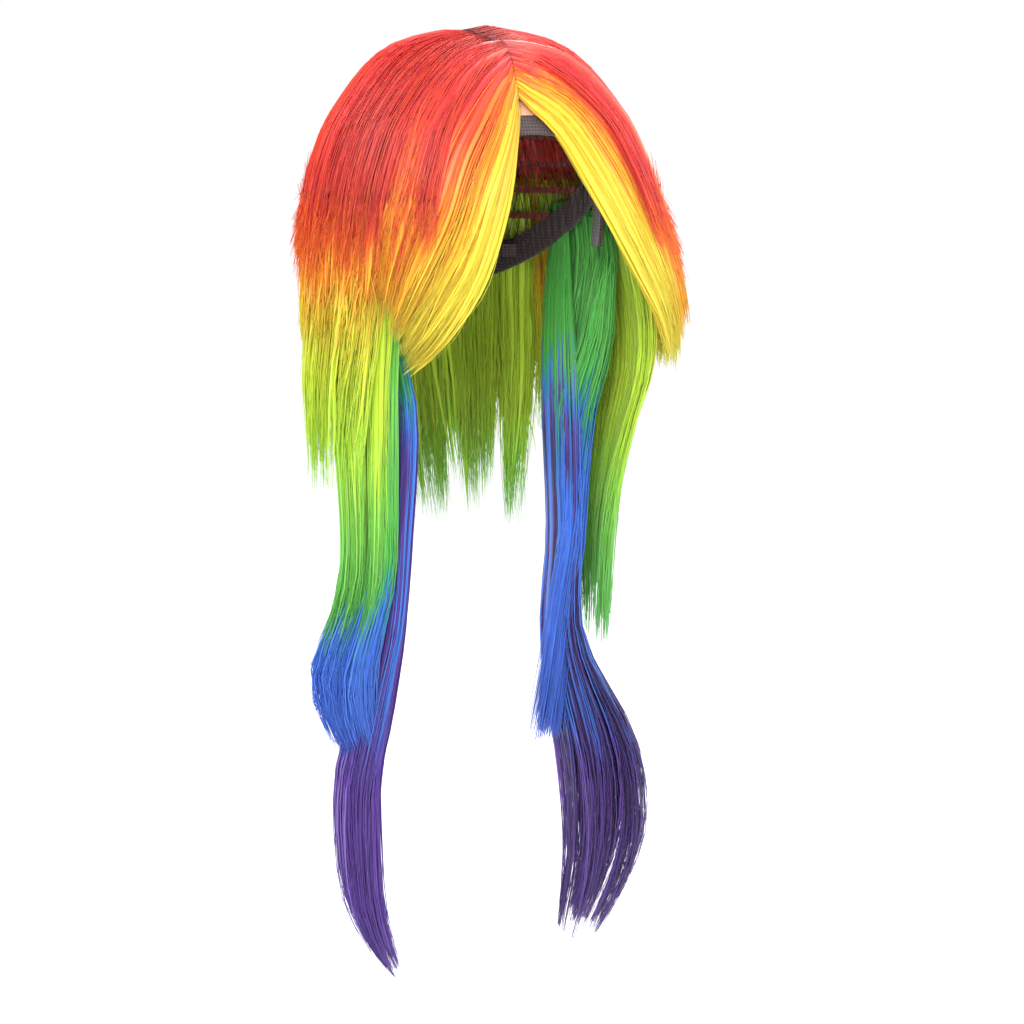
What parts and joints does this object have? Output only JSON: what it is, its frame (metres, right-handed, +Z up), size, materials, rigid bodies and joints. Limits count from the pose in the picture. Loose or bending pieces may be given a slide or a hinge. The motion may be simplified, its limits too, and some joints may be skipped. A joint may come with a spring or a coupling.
{
  "type": "costume wig",
  "caption": "Long layered costume wig with a curtain fringe, flicked side layers and two long locks brought forward, on a net cap with adjusters.",
  "frame": {"origin": "centre of the wearer's head at the widest level of the cap", "axes": "+Z up, face towards -Y, wearer's right towards -X"},
  "size_m": [0.2632, 0.2623, 0.65],
  "materials": {
    "cap_net": "fine black net",
    "band_elastic": "black ribbed elastic",
    "parting_skin": "matt skin-tone mesh",
    "weft_thread": "black stitched tape",
    "hook_plastic": "black gloss",
    "hair_red": "glossy straight synthetic fibre",
    "hair_orange": "glossy straight synthetic fibre",
    "hair_yellow": "glossy straight synthetic fibre",
    "hair_lime": "glossy straight synthetic fibre",
    "hair_green": "glossy straight synthetic fibre",
    "hair_blue": "glossy straight synthetic fibre",
    "hair_purple": "glossy straight synthetic fibre"
  },
  "bodies": {
    "cap": {"net_cap": "cap_net", "front_band": "band_elastic", "nape_band": "band_elastic", "ear_tab_right": "band_elastic", "ear_tab_left": "band_elastic", "parting_patch": "parting_skin", "weft_track_1": "weft_thread", "weft_track_2": "weft_thread", "weft_track_3": "weft_thread", "weft_track_4": "weft_thread", "weft_track_5": "weft_thread", "weft_track_6": "weft_thread", "weft_track_7": "weft_thread", "adjuster_strap_right": "band_elastic", "red_layer_right": "hair_red", "orange_layer_right": "hair_orange", "adjuster_strap_left": "band_elastic", "red_layer_left": "hair_red", "orange_layer_left": "hair_orange", "red_layer_back": "hair_red", "orange_layer_back": "hair_orange"},
    "fringe_right": {"fringe_right": "hair_yellow"},
    "fringe_left": {"fringe_left": "hair_yellow"},
    "fall_right": {"yellow_layer_right": "hair_yellow", "lime_layer_right": "hair_lime", "green_layer_right": "hair_green", "blue_layer_right": "hair_blue", "purple_lock_right": "hair_purple"},
    "fall_left": {"yellow_layer_left": "hair_yellow", "lime_layer_left": "hair_lime", "green_layer_left": "hair_green", "blue_layer_left": "hair_blue", "purple_lock_left": "hair_purple"},
    "fall_back": {"yellow_layer_back": "hair_yellow", "lime_layer_back": "hair_lime", "green_layer_back": "hair_green"},
    "hook_right": {"adjuster_hook_right": "hook_plastic"},
    "hook_left": {"adjuster_hook_left": "hook_plastic"}
  },
  "joints": [
    {"name": "fringe_lift_right", "type": "hinge", "parent": "cap", "child": "fringe_right", "pos_m": [0, -0.066, 0.106], "axis": [-1, 0, 0], "range_deg": [0, 25]},
    {"name": "fringe_lift_left", "type": "hinge", "parent": "cap", "child": "fringe_left", "pos_m": [0, -0.066, 0.106], "axis": [-1, 0, 0], "range_deg": [0, 25]},
    {"name": "fall_swing_right", "type": "hinge", "parent": "cap", "child": "fall_right", "pos_m": [-0.122, 0, -0.038], "axis": [0, 1, 0], "range_deg": [0, 35]},
    {"name": "fall_swing_left", "type": "hinge", "parent": "cap", "child": "fall_left", "pos_m": [0.143, 0, -0.038], "axis": [0, -1, 0], "range_deg": [0, 35]},
    {"name": "fall_swing_back", "type": "hinge", "parent": "cap", "child": "fall_back", "pos_m": [0, 0.135, -0.038], "axis": [1, 0, 0], "range_deg": [0, 30]},
    {"name": "hook_slide_right", "type": "slide", "parent": "cap", "child": "hook_right", "axis": [0.8491, 0.5283, 0], "range_m": [0, 0.024]},
    {"name": "hook_slide_left", "type": "slide", "parent": "cap", "child": "hook_left", "axis": [-0.8491, 0.5283, 0], "range_m": [0, 0.024]}
  ]
}
